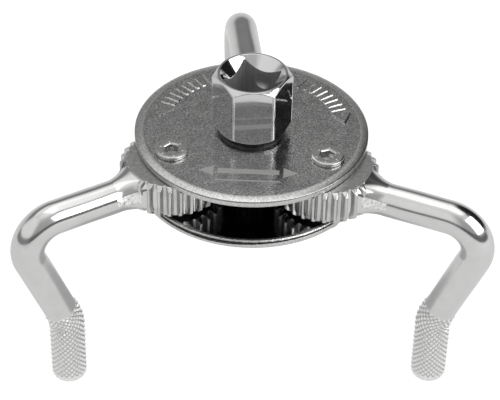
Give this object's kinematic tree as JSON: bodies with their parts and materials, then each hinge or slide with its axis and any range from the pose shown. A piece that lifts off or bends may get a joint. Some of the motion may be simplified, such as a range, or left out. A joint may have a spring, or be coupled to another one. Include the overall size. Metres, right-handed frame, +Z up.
{
  "type": "oil filter wrench",
  "caption": "Geared oil filter wrench: a square-drive hex head turns a sun gear between round plates and swings toothed arms with knurled tips onto the filter.",
  "frame": {"origin": "on the drive axis, at the level of the plane that the three arm tips stand on", "axes": "+Z up along the drive axis to the hex head, the rear arm's pivot lies on +Y, the left and right arms' pivots lie at 210 and 330 degrees"},
  "size_m": [0.1407, 0.1236, 0.0926],
  "materials": {
    "zinc_plate": "zinc plated, fine speckle, semi-gloss",
    "dark_plate": "dark glossy plate with a bright sheared edge",
    "polished_chrome": "polished chrome",
    "satin_chrome": "satin bright plating over a forging, knurled tips",
    "screw_zinc": "bright zinc",
    "gear_steel": "greased steel",
    "black_steel": "black oxide",
    "nylon": "moulded nylon"
  },
  "bodies": {
    "plates": {"top_plate": "zinc_plate", "bottom_plate": "dark_plate", "pivot_screw_rear": "screw_zinc", "pivot_screw_left": "screw_zinc", "pivot_screw_right": "screw_zinc", "pivot_sleeve_rear": "gear_steel", "pivot_sleeve_left": "gear_steel", "pivot_sleeve_right": "gear_steel", "arm_washer_rear": "black_steel", "arm_washer_left": "black_steel", "arm_washer_right": "black_steel", "lock_nut_rear": "screw_zinc", "lock_nut_left": "screw_zinc", "lock_nut_right": "screw_zinc", "nut_insert_rear": "nylon", "nut_insert_left": "nylon", "nut_insert_right": "nylon"},
    "spindle": {"drive_spindle": "polished_chrome", "sun_gear": "gear_steel", "sun_washer": "black_steel", "spindle_washer": "zinc_plate", "retaining_ring": "black_steel"},
    "arm_rear": {"arm_rear": "satin_chrome"},
    "arm_left": {"arm_left": "satin_chrome"},
    "arm_right": {"arm_right": "satin_chrome"}
  },
  "joints": [
    {"name": "spindle_turn", "type": "hinge", "parent": "plates", "child": "spindle", "pos_m": [0, 0, 0], "axis": [0, 0, 1], "range_deg": [-119, 133.5]},
    {"name": "arm_rear_swing", "type": "hinge", "parent": "plates", "child": "arm_rear", "pos_m": [0, 0.0265, 0], "axis": [0, 0, 1], "range_deg": [-111, 99]},
    {"name": "arm_left_swing", "type": "hinge", "parent": "plates", "child": "arm_left", "pos_m": [-0.02295, -0.01325, 0], "axis": [0, 0, 1], "range_deg": [-111, 99]},
    {"name": "arm_right_swing", "type": "hinge", "parent": "plates", "child": "arm_right", "pos_m": [0.02295, -0.01325, 0], "axis": [0, 0, 1], "range_deg": [-111, 99]}
  ],
  "couplings": [
    {"joint": "arm_rear_swing", "follows": "spindle_turn", "ratio": -0.82759},
    {"joint": "arm_left_swing", "follows": "spindle_turn", "ratio": -0.82759},
    {"joint": "arm_right_swing", "follows": "spindle_turn", "ratio": -0.82759}
  ]
}
